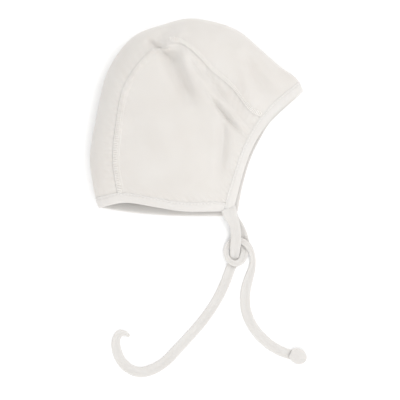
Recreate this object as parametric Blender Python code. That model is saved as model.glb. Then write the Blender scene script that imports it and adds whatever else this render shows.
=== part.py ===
"""A knitted baby bonnet with a peak, lying on its side with its two tie tapes in a loose half knot."""

import math

import bpy
import numpy as np
from mathutils import Matrix

# The bonnet, in metres. It lies on its side: +X runs to the peak, +Y to the crown, +Z up from the surface.
BONNET_LENGTH = 0.170
BONNET_HEIGHT = 0.154
FOLD_HEIGHT = 0.014
ROLL_RISE = 0.013
PUFF_RISE = 0.007
CORNER_HEIGHT = 0.0065

# The cloth and its edges.
PANEL_WALL = 0.0016
BAND_WALL = 0.0026
FACE_BAND_WIDTH = 0.0090
NECK_BAND_WIDTH = 0.0092
SEAM_GAP = 0.0004

# The ties.
TIE_WIDTH = 0.0080
TIE_THICKNESS = 0.0015
TIE_DROP = 0.130

# The part of the way from the fold to the corner over which the cloth rolls up off the fold.
ROLL_PART = 0.26
# How far in from the bands the lower layer comes down onto the surface.
SETTLE_WIDTH = 0.015
FOLD_REACH = 0.005
FOLD_DEPTH = 0.002

# The line where the cloth folds over, from the tip of the peak over the crown to the nape.
# Columns: along the length from the back, up from the neck line, as shares of the length and the height.
FOLD_LINE = (
    (1.000, 0.625),
    (0.972, 0.688),
    (0.896, 0.750),
    (0.797, 0.844),
    (0.693, 0.938),
    (0.585, 0.982),
    (0.467, 1.000),
    (0.344, 0.969),
    (0.203, 0.906),
    (0.127, 0.812),
    (0.080, 0.719),
    (0.052, 0.609),
    (0.033, 0.500),
    (0.009, 0.375),
    (0.000, 0.271),
    (0.009, 0.167),
    (0.028, 0.063),
    (0.042, 0.021),
)
# The edges from the tip of the peak down the face to the tie corner, of the upper and of the lower layer.
FACE_EDGE_NEAR = (
    (1.000, 0.625), (0.910, 0.547), (0.835, 0.464), (0.778, 0.370), (0.736, 0.266), (0.708, 0.167),
    (0.679, 0.036),
)
FACE_EDGE_FAR = (
    (1.000, 0.625), (0.915, 0.542), (0.844, 0.464), (0.797, 0.375), (0.755, 0.276), (0.726, 0.172),
    (0.694, 0.003),
)
# The edges from the nape along the neck to the tie corner, of the upper and of the lower layer.
NECK_EDGE_NEAR = ((0.042, 0.021), (0.151, 0.047), (0.302, 0.026), (0.420, 0.005), (0.618, 0.003))
NECK_EDGE_FAR = ((0.042, 0.021), (0.160, 0.000), (0.302, -0.016), (0.467, -0.023), (0.638, -0.022))

# Along the fold line from the peak to the nape. Columns: the place, the height of the fold as a share of
# FOLD_HEIGHT, and the rise of the upper layer off it as a share of ROLL_RISE.
SECTIONS = (
    (0.00, 0.50, 0.55), (0.12, 0.70, 0.75), (0.35, 1.00, 1.00), (0.75, 1.00, 1.00), (0.90, 0.85, 0.80),
    (1.00, 0.60, 0.60),
)

# The seam between a side panel and the centre panel. Columns: the place along the fold line, and the
# distance in from the fold as a share of the way to the corner.
SEAM_LINE = (
    (0.00, 0.375), (0.08, 0.385), (0.16, 0.365), (0.24, 0.342), (0.31, 0.290), (0.36, 0.222), (0.40, 0.158),
    (0.46, 0.138), (0.55, 0.155), (0.64, 0.158), (0.78, 0.163), (0.90, 0.175), (1.00, 0.165),
)

# The folds of the upper layer. Columns: start and end as shares of the length and the height, the reach to
# each side as a share of FOLD_REACH, and the height as a share of FOLD_DEPTH, below zero for a valley.
FOLDS = (
    ("crown valley", 0.382, 0.985, 0.293, 0.875, 1.00, -1.4),
    ("pleat pocket", 0.288, 0.870, 0.396, 0.828, 0.88, -1.0),
    ("first valley", 0.410, 0.812, 0.430, 0.687, 0.84, -1.6),
    ("first valley, lower", 0.430, 0.687, 0.500, 0.552, 0.96, -1.1),
    ("first ridge", 0.448, 0.818, 0.467, 0.713, 0.84, 1.0),
    ("first ridge, lower", 0.467, 0.713, 0.520, 0.599, 0.90, 0.8),
    ("second valley", 0.486, 0.760, 0.585, 0.646, 0.72, -1.3),
    ("second valley, lower", 0.585, 0.646, 0.646, 0.531, 0.80, -1.0),
    ("second ridge", 0.514, 0.719, 0.571, 0.630, 0.72, 0.7),
    ("hem crease", 0.580, 0.588, 0.693, 0.401, 0.60, -1.0),
    ("cheek valley", 0.613, 0.438, 0.618, 0.229, 1.40, -0.9),
    ("peak ridge", 0.656, 0.818, 0.741, 0.583, 1.40, 0.9),
    ("peak valley", 0.703, 0.844, 0.816, 0.568, 1.20, -1.0),
    ("side dent", 0.184, 0.453, 0.325, 0.375, 2.20, -0.7),
    ("side ridge", 0.420, 0.521, 0.467, 0.401, 2.40, 0.6),
)

# The route of each tie from the upper layer's tie corner. Columns: x and y as shares of TIE_DROP, z as a
# share of TIE_THICKNESS, and the width as a share of TIE_WIDTH.
TIE_NEAR_ROUTE = (
    (-0.0341, -0.0257, 4.33, 1.00),
    (-0.0148, -0.0734, 4.27, 1.05),
    (0.0028, -0.1311, 4.07, 1.05),
    (0.0090, -0.1888, 3.87, 1.05),
    (0.0059, -0.2350, 3.53, 1.00),
    (0.0013, -0.2888, 2.27, 0.92),
    (-0.0018, -0.3311, 0.93, 0.80),
    (-0.0110, -0.3657, 0.60, 0.90),
    (-0.0264, -0.4003, 0.60, 0.98),
    (-0.0456, -0.4542, 0.60, 1.00),
    (-0.0764, -0.5273, 0.60, 1.00),
    (-0.1187, -0.6080, 0.60, 1.00),
    (-0.1841, -0.7042, 0.60, 1.02),
    (-0.2610, -0.7965, 0.60, 1.02),
    (-0.3495, -0.8926, 0.60, 1.04),
    (-0.4379, -0.9811, 0.60, 1.06),
    (-0.5225, -1.0288, 0.60, 1.06),
    (-0.5918, -1.0426, 0.60, 1.02),
    (-0.6572, -1.0196, 0.60, 1.00),
    (-0.7072, -0.9696, 0.60, 1.00),
    (-0.7341, -0.9042, 0.67, 0.95),
    (-0.7379, -0.8426, 0.80, 0.85),
    (-0.7148, -0.8003, 0.87, 0.70),
    (-0.6787, -0.8026, 0.80, 0.50),
    (-0.6533, -0.8196, 0.67, 0.22),
)
TIE_FAR_ROUTE = (
    (-0.0156, -0.0565, 0.87, 1.00),
    (-0.0018, -0.0903, 0.73, 1.00),
    (0.0205, -0.1250, 0.60, 1.00),
    (0.0413, -0.1642, 0.60, 1.00),
    (0.0582, -0.2157, 0.60, 0.95),
    (0.0636, -0.2657, 0.80, 0.86),
    (0.0582, -0.3119, 1.40, 0.78),
    (0.0390, -0.3488, 2.00, 0.68),
    (0.0044, -0.3634, 2.20, 0.62),
    (-0.0325, -0.3465, 2.20, 0.58),
    (-0.0510, -0.3080, 1.87, 0.55),
    (-0.0495, -0.2657, 1.73, 0.55),
    (-0.0264, -0.2311, 1.87, 0.55),
    (0.0082, -0.2180, 2.00, 0.58),
    (0.0467, -0.2257, 2.07, 0.64),
    (0.0828, -0.2542, 2.07, 0.62),
    (0.1059, -0.2965, 1.73, 0.58),
    (0.1152, -0.3465, 1.07, 0.58),
    (0.1082, -0.3965, 0.67, 0.74),
    (0.0890, -0.4580, 0.60, 0.92),
    (0.0713, -0.5273, 0.60, 1.00),
    (0.0659, -0.6042, 0.60, 1.02),
    (0.0775, -0.6773, 0.60, 1.02),
    (0.1121, -0.7542, 0.60, 1.02),
    (0.1698, -0.8273, 0.60, 1.02),
    (0.2467, -0.8888, 0.60, 1.00),
    (0.3198, -0.9234, 0.60, 0.98),
    (0.3813, -0.9388, 0.60, 0.98),
    (0.4236, -0.9442, 0.67, 0.90),
)
TIE_STATIONS = 54
# How round the edges of a tape are, as a share of half its thickness.
TIE_EDGE = 0.8

# Panels that meet at a seam share their steps along it, so that their facets meet too. The steps are
# closer round CROWN_PLACE, where the folds start.
SEAM_STEPS = 46
CROWN_PLACE = 0.42
CROWN_CLOSENESS = 0.45
NEAR_PANEL_ROWS = 20
FAR_PANEL_ROWS = 14
CENTRE_PANEL_ROWS = 15
# Bands: their stations, how much closer those are at the fold, the angles round the folded nose, and the
# least width of the neck band in thicknesses.
FACE_BAND_STATIONS = 53
NECK_BAND_STATIONS = 41
BAND_CLOSENESS = 1.25
NOSE_ANGLES = (60, 20, -20, -60)
NECK_BAND_END = 1.1
# The places at which a row across the bonnet is measured, and the rows from corner to corner.
ROW_PLACES = 161
ROW_COUNT = 241

IVORY = (0.86, 0.83, 0.78)
BAND_TINT = 1.01
TIE_TINT = 1.02


def curve_through(knots, values, at):
    """A smooth curve through the values at the knots, read at any places."""
    knots = np.asarray(knots, float)
    values = np.asarray(values, float)
    slopes = np.gradient(values, knots)
    cell = np.clip(np.searchsorted(knots, at, side="right") - 1, 0, len(knots) - 2)
    step = knots[cell + 1] - knots[cell]
    s = (at - knots[cell]) / step
    rise = values[cell + 1] - values[cell]
    return (
        values[cell]
        + s * s * (3 - 2 * s) * rise
        + s * (1 - s) ** 2 * step * slopes[cell]
        - s * s * (1 - s) * step * slopes[cell + 1]
    )


def line_reader(rows):
    """A function that gives x and y at a share of the way along a line of rows in shares of the sizes."""
    points = np.array(rows) * (BONNET_LENGTH, BONNET_HEIGHT)
    knots = np.concatenate([[0], np.cumsum(np.hypot(*np.diff(points, axis=0).T))])
    knots /= knots[-1]
    return lambda at: (curve_through(knots, points[:, 0], at), curve_through(knots, points[:, 1], at))


fold_line = line_reader(FOLD_LINE)
face_edges = {"near": line_reader(FACE_EDGE_NEAR), "far": line_reader(FACE_EDGE_FAR)}
neck_edges = {"near": line_reader(NECK_EDGE_NEAR), "far": line_reader(NECK_EDGE_FAR)}


def column(table, index, at):
    return curve_through([row[0] for row in table], [row[index] for row in table], at)


def plan(along, inward, layer):
    """x and y of a place: along the fold line from the peak, and inward from it to the tie corner."""
    fold = fold_line(along)
    face = face_edges[layer](inward)
    neck = neck_edges[layer](inward)
    tip = fold_line(0.0)
    nape = fold_line(1.0)
    face_corner = face_edges[layer](1.0)
    neck_corner = neck_edges[layer](1.0)
    return [
        (1 - inward) * fold[i]
        + inward * ((1 - along) * face_corner[i] + along * neck_corner[i])
        + (1 - along) * face[i]
        + along * neck[i]
        - (1 - along) * ((1 - inward) * tip[i] + inward * face_corner[i])
        - along * ((1 - inward) * nape[i] + inward * neck_corner[i])
        for i in (0, 1)
    ]


def smooth_step(value):
    value = np.clip(value, 0, 1)
    return value * value * (3 - 2 * value)


def folds_at(x, y):
    """The height that the folds add at a place on the upper layer."""
    height = np.zeros(np.shape(x))
    for _, x0, y0, x1, y1, reach, peak in FOLDS:
        start = np.array([x0 * BONNET_LENGTH, y0 * BONNET_HEIGHT])
        way = np.array([x1 * BONNET_LENGTH, y1 * BONNET_HEIGHT]) - start
        part = np.clip(((x - start[0]) * way[0] + (y - start[1]) * way[1]) / (way @ way), 0, 1)
        away = np.hypot(x - start[0] - part * way[0], y - start[1] - part * way[1])
        height = height + peak * FOLD_DEPTH * np.exp(-((away / (reach * FOLD_REACH)) ** 2))
    return height


def layer_point(along, t, layer):
    """A place on the middle of the cloth in one layer; t runs from the fold to the corner."""
    fold = FOLD_HEIGHT * column(SECTIONS, 1, along)
    rise = ROLL_RISE * column(SECTIONS, 2, along)
    at_fold = plan(along, 0.0, layer)
    at_corner = plan(along, 1.0, layer)
    reach = np.hypot(at_fold[0] - at_corner[0], at_fold[1] - at_corner[1])
    roll_depth = 2 * rise if layer == "near" else fold - BAND_WALL / 2
    roll = roll_depth / reach
    angle = np.minimum(t / ROLL_PART, 1) * math.pi / 2
    flat = np.maximum(t - ROLL_PART, 0) / (1 - ROLL_PART)
    inward = roll * (1 - np.cos(angle)) + (1 - roll) * flat
    x, y = plan(along, inward, layer)
    if layer == "near":
        puff = PUFF_RISE * 16 * along * (1 - along) * inward * (1 - inward)
        z = fold + rise * np.sin(angle) - (fold + rise - CORNER_HEIGHT) * inward**2
        z = z + puff + np.sin(angle) ** 2 * folds_at(x, y)
    else:
        face = face_edges[layer](inward)
        neck = neck_edges[layer](inward)
        wide = np.hypot(face[0] - neck[0], face[1] - neck[1])
        from_band = np.minimum(along, 1 - along) * wide - max(FACE_BAND_WIDTH, NECK_BAND_WIDTH)
        settled = BAND_WALL / 2 - (BAND_WALL - PANEL_WALL) / 2 * smooth_step(from_band / SETTLE_WIDTH)
        z = fold - (fold - settled) * np.sin(angle)
    return np.stack(np.broadcast_arrays(x, y, z), axis=-1)


def cloth_point(along, t):
    """A place on the middle of the cloth; t runs from the near corner over the fold to the far one."""
    along, t = np.broadcast_arrays(np.asarray(along, float), np.asarray(t, float))
    near = layer_point(along, np.maximum(-t, 0), "near")
    far = layer_point(along, np.maximum(t, 0), "far")
    return np.where((t < 0)[..., None], near, far)


def slope_of(along, t, d_along, d_t):
    high = cloth_point(np.clip(along + d_along, 0, 1), np.clip(t + d_t, -1, 1))
    low = cloth_point(np.clip(along - d_along, 0, 1), np.clip(t - d_t, -1, 1))
    return high - low


def cloth_normal(along, t):
    """The unit normal of the cloth, pointing out of the bonnet."""
    cross = np.cross(slope_of(along, t, 0.002, 0), slope_of(along, t, 0, 0.002))
    return cross / np.linalg.norm(cross, axis=-1, keepdims=True)


ROW_SAMPLES = np.linspace(0, 1, ROW_PLACES)


def along_at(t, distances, from_neck=False):
    """Where a row across the bonnet is, at these distances in from its face edge or from its neck edge."""
    row = cloth_point(ROW_SAMPLES, np.full(len(ROW_SAMPLES), t))
    run = np.concatenate([[0], np.cumsum(np.linalg.norm(np.diff(row, axis=0), axis=1))])
    if from_neck:
        distances = run[-1] - np.asarray(distances)
    return np.interp(distances, run, ROW_SAMPLES)


def row_length(t):
    row = cloth_point(ROW_SAMPLES, np.full(len(ROW_SAMPLES), t))
    return np.linalg.norm(np.diff(row, axis=0), axis=1).sum()


def neck_width(t):
    """The neck band narrows where the two bands meet at the tie corner."""
    return min(NECK_BAND_WIDTH, row_length(t) - FACE_BAND_WIDTH - SEAM_GAP)


# The panels stop where the bands meet, and between the bands they run from one to the other.
T_ROWS = np.linspace(-1, 1, ROW_COUNT)
FACE_SIDE = np.array([along_at(t, FACE_BAND_WIDTH + SEAM_GAP) for t in T_ROWS])
NECK_SIDE = np.array([along_at(t, neck_width(t) + SEAM_GAP, from_neck=True) for t in T_ROWS])


def panel_end(layer):
    """The last row at which a panel still has cloth between the two bands."""
    sign = -1 if layer == "near" else 1
    shares = np.linspace(0.7, 1, 151)
    bands = FACE_BAND_WIDTH + NECK_BAND_WIDTH + 2 * SEAM_GAP
    room = np.array([row_length(sign * share) - bands for share in shares])
    return shares[np.argmax(room < PANEL_WALL)]


def neck_band_end(layer):
    """The last row at which the neck band is still as wide as it is thick."""
    sign = -1 if layer == "near" else 1
    shares = np.linspace(0.9, 1, 51)
    wide = np.array([neck_width(sign * share) >= NECK_BAND_END * BAND_WALL for share in shares])
    return shares[wide].max()


def panel_place(across, t):
    """A place on the cloth between the bands; across runs from the face band to the neck band."""
    face = np.interp(t, T_ROWS, FACE_SIDE)
    neck = np.interp(t, T_ROWS, NECK_SIDE)
    return face + across * (neck - face), t


def seam_at(across, layer):
    """The place of the seam on its row, as the share of the way from the fold to the corner."""
    fold = FOLD_HEIGHT * column(SECTIONS, 1, across)
    rise = ROLL_RISE * column(SECTIONS, 2, across)
    at_fold = plan(across, 0.0, layer)
    at_corner = plan(across, 1.0, layer)
    reach = np.hypot(at_fold[0] - at_corner[0], at_fold[1] - at_corner[1])
    roll = (2 * rise if layer == "near" else fold - BAND_WALL / 2) / reach
    inward = column(SEAM_LINE, 1, across)
    rolled = ROLL_PART * 2 / math.pi * np.arccos(1 - np.minimum(inward / roll, 1))
    flat = ROLL_PART + (1 - ROLL_PART) * (inward - roll) / (1 - roll)
    return np.where(inward < roll, rolled, flat)


def seam_inset(across, layer):
    """Half the seam gap, square to the seam, as a step of t."""
    sign = -1 if layer == "near" else 1
    before, after = np.clip(across - 0.01, 0, 1), np.clip(across + 0.01, 0, 1)
    ahead = cloth_point(*panel_place(after, sign * seam_at(after, layer)))
    ahead = ahead - cloth_point(*panel_place(before, sign * seam_at(before, layer)))
    ahead /= np.linalg.norm(ahead, axis=-1, keepdims=True)
    step = slope_of(*panel_place(across, sign * seam_at(across, layer)), 0, 0.004) / 0.008
    square = step - (step * ahead).sum(axis=-1, keepdims=True) * ahead
    return SEAM_GAP / 2 / np.linalg.norm(square, axis=-1)


def material_of(name, colour, roughness):
    material = bpy.data.materials.new(name)
    material.use_nodes = True
    shader = material.node_tree.nodes["Principled BSDF"]
    shader.inputs["Base Color"].default_value = (*colour, 1)
    shader.inputs["Roughness"].default_value = roughness
    shader.inputs["Metallic"].default_value = 0
    shader.inputs["Sheen Weight"].default_value = 0.3
    return material


def add_solid(name, points, faces, roughness=0.85, tint=1.0):
    """An object from points and faces, turned to face outwards."""
    points = np.asarray(points)
    volume = 0.0
    for face in faces:
        for i in range(1, len(face) - 1):
            volume += points[face[0]] @ np.cross(points[face[i]], points[face[i + 1]])
    if volume < 0:
        faces = [face[::-1] for face in faces]
    mesh = bpy.data.meshes.new(name)
    mesh.from_pydata([tuple(point) for point in points], [], faces)
    mesh.materials.append(material_of(f"{name}_knit", [tint * value for value in IVORY], roughness))
    mesh.shade_smooth()
    mesh.set_sharp_from_angle(angle=math.radians(50))
    solid = bpy.data.objects.new(name, mesh)
    bpy.context.scene.collection.objects.link(solid)
    return solid


def panel_solid(name, along, t):
    """A wall of cloth over a grid of places."""
    middle = cloth_point(along, t)
    out = cloth_normal(along, t) * PANEL_WALL / 2
    rows, columns = along.shape
    points = np.concatenate([(middle + out).reshape(-1, 3), (middle - out).reshape(-1, 3)])
    inner = rows * columns
    faces = []
    for i in range(rows - 1):
        for j in range(columns - 1):
            a = i * columns + j
            quad = (a, a + 1, a + columns + 1, a + columns)
            faces.append(quad)
            faces.append(tuple(inner + k for k in reversed(quad)))
    rim = [j for j in range(columns)]
    rim += [i * columns + columns - 1 for i in range(1, rows)]
    rim += [(rows - 1) * columns + j for j in range(columns - 2, -1, -1)]
    rim += [i * columns for i in range(rows - 2, 0, -1)]
    for a, b in zip(rim, rim[1:] + rim[:1]):
        faces.append((b, a, inner + a, inner + b))
    return add_solid(name, points, faces)


def swept_solid(name, rings, roughness=0.85, tint=1.0):
    """A closed band through rings of points, with flat ends."""
    stations, sides = rings.shape[:2]
    faces = [tuple(range(sides))[::-1]]
    for i in range(stations - 1):
        for j in range(sides):
            a = i * sides + j
            b = i * sides + (j + 1) % sides
            faces.append((a, b, b + sides, a + sides))
    faces.append(tuple((stations - 1) * sides + j for j in range(sides)))
    return add_solid(name, rings.reshape(-1, 3), faces, roughness, tint)


def seam_steps():
    even = np.linspace(0, 1, SEAM_STEPS)
    turn = 2 * math.pi
    shift = np.sin(turn * (even - CROWN_PLACE)) + math.sin(turn * CROWN_PLACE)
    return even - CROWN_CLOSENESS / turn * shift


def side_panel(name, layer, rows):
    sign = -1 if layer == "near" else 1
    across, part = np.meshgrid(seam_steps(), np.linspace(0, 1, rows))
    seam = seam_at(across, layer)
    start = seam + seam_inset(across, layer)
    along, t = panel_place(across, sign * (start + part * (panel_end(layer) - start)))
    return panel_solid(name, along, t)


def centre_panel(name, rows):
    across, part = np.meshgrid(seam_steps(), np.linspace(0, 1, rows))
    near = seam_inset(across, "near") - seam_at(across, "near")
    far = seam_at(across, "far") - seam_inset(across, "far")
    along, t = panel_place(across, near + part * (far - near))
    return panel_solid(name, along, t)


def band_solid(name, stations, width_at, ends, from_neck):
    """A folded edge from one end to the other: its nose is round and its inner edge is square."""
    half = BAND_WALL / 2
    nose = np.radians(NOSE_ANGLES)
    # The fold of the cloth is bent more sharply than the rest, so the stations are closer there.
    shares = np.linspace(-1, 1, stations)
    t_rows = np.sign(shares) * np.abs(shares) ** BAND_CLOSENESS
    t_rows = t_rows[(t_rows > ends[0]) & (t_rows < ends[1])]
    t_rows = np.sort(np.concatenate([t_rows, ends, (-panel_end("near"), panel_end("far"))]))
    rings = []
    for t in t_rows:
        width = width_at(t)
        depth = [width, half, *(half * (1 - np.cos(nose))), half, width]
        height = [half, half, *(half * np.sin(nose)), -half, -half]
        along = along_at(t, np.array(depth), from_neck)
        rows = np.full(len(along), t)
        rings.append(cloth_point(along, rows) + cloth_normal(along, rows) * np.array(height)[:, None])
    return swept_solid(name, np.array(rings), tint=BAND_TINT)


def tape_frames(route):
    """Centres, side directions, up directions and widths at even steps along a tie's route."""
    corner_x, corner_y = face_edges["near"](1.0)
    route = np.array(route) * (TIE_DROP, TIE_DROP, TIE_THICKNESS, TIE_WIDTH) + (corner_x, corner_y, 0, 0)
    knots = np.concatenate([[0], np.cumsum(np.linalg.norm(np.diff(route[:, :3], axis=0), axis=1))])
    steps = np.linspace(0, knots[-1], TIE_STATIONS)
    values = np.stack([curve_through(knots, route[:, i], steps) for i in range(4)], axis=-1)
    centres = values[:, :3]
    ahead = np.gradient(centres, axis=0)
    ahead /= np.linalg.norm(ahead, axis=1, keepdims=True)
    side = np.cross(ahead, (0, 0, 1))
    side /= np.linalg.norm(side, axis=1, keepdims=True)
    up = np.cross(side, ahead)
    return centres, side, up, values[:, 3:]


def tie(name, route):
    """A flat tape with rounded edges."""
    centres, side, up, widths = tape_frames(route)
    half = TIE_THICKNESS / 2
    corner = half * TIE_EDGE
    # Columns: the edge, the step in from it, and the height as a share of half the thickness.
    section = (
        (1, 0, 0.4), (1, -1, 1), (-1, 1, 1), (-1, 0, 0.4),
        (-1, 0, -0.4), (-1, 1, -1), (1, -1, -1), (1, 0, -0.4),
    )
    rings = [
        centres + side * (sign * widths / 2 + inset * corner) + up * height * half
        for sign, inset, height in section
    ]
    return swept_solid(name, np.stack(rings, axis=1), tint=TIE_TINT)


def set_on_base(solids):
    """Moves all the pieces so that the bonnet without its ties has the middle of its base at the origin."""
    corners = np.concatenate([
        [solid.matrix_world @ vertex.co for vertex in solid.data.vertices]
        for solid in solids
        if not solid.name.startswith("tie_")
    ])
    low = corners.min(axis=0)
    high = corners.max(axis=0)
    base = ((low[0] + high[0]) / 2, (low[1] + high[1]) / 2, low[2])
    for solid in solids:
        solid.data.transform(Matrix.Translation(base).inverted())


def main():
    for thing in list(bpy.data.objects):
        bpy.data.objects.remove(thing, do_unlink=True)
    neck_ends = (-neck_band_end("near"), neck_band_end("far"))
    solids = [
        side_panel("side_panel_near", "near", NEAR_PANEL_ROWS),
        side_panel("side_panel_far", "far", FAR_PANEL_ROWS),
        centre_panel("centre_panel", CENTRE_PANEL_ROWS),
        band_solid("face_band", FACE_BAND_STATIONS, lambda t: FACE_BAND_WIDTH, (-1, 1), from_neck=False),
        band_solid("neck_band", NECK_BAND_STATIONS, neck_width, neck_ends, from_neck=True),
        tie("tie_near", TIE_NEAR_ROUTE),
        tie("tie_far", TIE_FAR_ROUTE),
    ]
    set_on_base(solids)


main()
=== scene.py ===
import math

import bpy
import numpy as np
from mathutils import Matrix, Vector


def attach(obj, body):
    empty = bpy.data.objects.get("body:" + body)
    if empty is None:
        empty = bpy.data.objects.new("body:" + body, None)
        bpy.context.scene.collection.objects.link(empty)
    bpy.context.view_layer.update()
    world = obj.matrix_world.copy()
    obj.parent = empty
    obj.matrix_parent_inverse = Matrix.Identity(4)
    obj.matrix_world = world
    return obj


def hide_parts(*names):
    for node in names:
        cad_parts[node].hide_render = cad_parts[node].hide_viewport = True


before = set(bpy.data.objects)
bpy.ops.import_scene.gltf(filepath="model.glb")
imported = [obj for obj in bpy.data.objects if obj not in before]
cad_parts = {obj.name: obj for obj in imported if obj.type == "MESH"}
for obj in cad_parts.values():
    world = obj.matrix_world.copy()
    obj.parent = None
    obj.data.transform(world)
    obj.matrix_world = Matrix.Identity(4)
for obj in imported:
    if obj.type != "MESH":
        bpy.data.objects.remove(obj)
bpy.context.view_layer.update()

# The bonnet lies on its side: +X to the peak, +Y to the crown, +Z up to the camera.
# Shapes are worked out in metres from the lower left corner of a box round the bonnet, and then set on the
# frame's origin. rollPart is the part of t, from 0 on the fold line to 1 at the tie corner, on which the
# cloth rolls over.
bonnet = {
    "length": 0.170, "height": 0.154,
    "foldHeight": 0.014, "rollRise": 0.013, "puffRise": 0.007, "cornerHeight": 0.0065,
    "panelWall": 0.0015, "bandWall": 0.0024, "faceBandWidth": 0.0090, "neckBandWidth": 0.0092,
    "bandOverlap": 0.0008, "leastBand": 0.0012,
    "rollPart": 0.26, "settleWidth": 0.015, "floorLift": 0.0003,
    "uneven": 0.0004, "unevenSize": 0.05, "unevenSeed": 5,
}
# where the frame's origin lies from that corner
originX = 0.08501
originY = 0.07557


# A smooth curve through the values at the knots, read at any places.
def curveThrough(knots, values, at):
    knots = np.asarray(knots, float)
    values = np.asarray(values, float)
    slopes = np.gradient(values, knots)
    cell = np.clip(np.searchsorted(knots, at, side="right") - 1, 0, len(knots) - 2)
    step = knots[cell + 1] - knots[cell]
    s = (at - knots[cell]) / step
    rise = values[cell + 1] - values[cell]
    return (values[cell] + s * s * (3 - 2 * s) * rise + s * (1 - s) ** 2 * step * slopes[cell]
            - s * s * (1 - s) * step * slopes[cell + 1])


# How far each point of a line is along it.
def runOf(points):
    return np.concatenate([[0], np.cumsum(np.linalg.norm(np.diff(points, axis=0), axis=1))])


def lineReader(rows):
    points = np.array(rows) * (bonnet["length"], bonnet["height"])
    knots = runOf(points)
    knots /= knots[-1]
    return lambda at: (curveThrough(knots, points[:, 0], at), curveThrough(knots, points[:, 1], at))


# Shares of the length and the height: the line where the cloth folds over, and the edges of both layers.
foldLine = lineReader((
    (1.000, 0.625), (0.972, 0.688), (0.896, 0.750), (0.797, 0.844), (0.693, 0.938), (0.585, 0.982),
    (0.467, 1.000), (0.344, 0.969), (0.203, 0.906), (0.127, 0.812), (0.080, 0.719), (0.052, 0.609),
    (0.033, 0.500), (0.009, 0.375), (0.000, 0.271), (0.009, 0.167), (0.028, 0.063), (0.042, 0.021),
))
faceEdges = {
    "near": lineReader(((1.000, 0.625), (0.910, 0.547), (0.835, 0.464), (0.778, 0.370), (0.736, 0.266),
                        (0.708, 0.167), (0.679, 0.036))),
    "far": lineReader(((1.000, 0.625), (0.915, 0.542), (0.844, 0.464), (0.797, 0.375), (0.755, 0.276),
                       (0.726, 0.172), (0.694, 0.003))),
}
neckEdges = {
    "near": lineReader(((0.042, 0.021), (0.151, 0.047), (0.302, 0.026), (0.420, 0.005), (0.618, 0.003))),
    "far": lineReader(((0.042, 0.021), (0.160, 0.000), (0.302, -0.016), (0.467, -0.023), (0.638, -0.022))),
}
# place along the fold line, fold height share, rise share
sections = (
    (0.00, 0.50, 0.55), (0.12, 0.70, 0.75), (0.35, 1.00, 1.00),
    (0.75, 1.00, 1.00), (0.90, 0.85, 0.80), (1.00, 0.60, 0.60),
)
# place along the fold line, distance in from it as a share of the way to the tie corner
seamLine = (
    (0.00, 0.375), (0.08, 0.385), (0.16, 0.365), (0.24, 0.342), (0.31, 0.290), (0.36, 0.222), (0.40, 0.158),
    (0.46, 0.138), (0.55, 0.155), (0.64, 0.158), (0.78, 0.163), (0.90, 0.175), (1.00, 0.165),
)
# Folds of the upper layer: start, middle and end in shares, reach and height in metres (below zero for a
# valley), and 1 where the cloth swells beside the valley.
folds = (
    ("crown pleat", 0.392, 0.985, 0.354, 0.927, 0.282, 0.875, 0.0050, -0.0044, 1),
    ("pleat pocket", 0.255, 0.895, 0.326, 0.840, 0.430, 0.765, 0.0036, -0.0058, 0),
    ("first valley", 0.352, 0.850, 0.412, 0.700, 0.510, 0.502, 0.0064, -0.0064, 1),
    ("first ridge", 0.434, 0.844, 0.458, 0.729, 0.519, 0.562, 0.0035, 0.0014, 0),
    ("second valley", 0.452, 0.796, 0.500, 0.740, 0.538, 0.657, 0.0022, -0.0018, 0),
    ("leaf fold", 0.504, 0.760, 0.585, 0.656, 0.656, 0.522, 0.0032, -0.0026, 0),
    ("leaf edge", 0.504, 0.718, 0.552, 0.625, 0.628, 0.521, 0.0018, 0.0006, 0),
    ("hem crease", 0.545, 0.614, 0.637, 0.495, 0.737, 0.366, 0.0024, -0.0034, 1),
    ("cheek valley", 0.628, 0.560, 0.620, 0.349, 0.606, 0.150, 0.0046, -0.0042, 0),
    ("peak ridge", 0.674, 0.915, 0.722, 0.729, 0.765, 0.502, 0.0048, 0.0020, 0),
    ("peak valley", 0.697, 0.852, 0.768, 0.718, 0.883, 0.574, 0.0062, -0.0040, 0),
    ("side dent", 0.140, 0.447, 0.241, 0.406, 0.355, 0.365, 0.0110, -0.0015, 0),
    ("side ridge", 0.405, 0.582, 0.448, 0.469, 0.475, 0.345, 0.0120, 0.0012, 0),
    ("nape fold", 0.042, 0.135, 0.061, 0.078, 0.100, 0.027, 0.0030, -0.0010, 0),
    ("back fold", 0.066, 0.717, 0.057, 0.604, 0.076, 0.481, 0.0045, -0.0012, 0),
)
# how a fold fades out at its ends and how the cloth swells beside it, as shares
foldForm = {"fadeIn": 0.3, "fadeOut": 0.4, "swell": 0.5, "swellAt": 2, "swellReach": 1.2, "steps": 17}


# A column of a table, read at any place in its first column.
def column(table, index, at):
    return curveThrough([row[0] for row in table], [row[index] for row in table], at)


# Where the cloth lies seen from above: along goes from the face to the neck, and inward from the fold line
# to the tie corner.
def plan(along, inward, layer):
    fold, tip, nape = foldLine(along), foldLine(0.0), foldLine(1.0)
    face, neck = faceEdges[layer](inward), neckEdges[layer](inward)
    faceCorner, neckCorner = faceEdges[layer](1.0), neckEdges[layer](1.0)
    return [
        (1 - inward) * fold[i] + inward * ((1 - along) * faceCorner[i] + along * neckCorner[i])
        + (1 - along) * face[i] + along * neck[i]
        - (1 - along) * ((1 - inward) * tip[i] + inward * faceCorner[i])
        - along * ((1 - inward) * nape[i] + inward * neckCorner[i])
        for i in (0, 1)
    ]


def smoothStep(value):
    value = np.clip(value, 0, 1)
    return value * value * (3 - 2 * value)


waves = {"count": 7, "slowest": 0.6, "fastest": 1.6}


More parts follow.
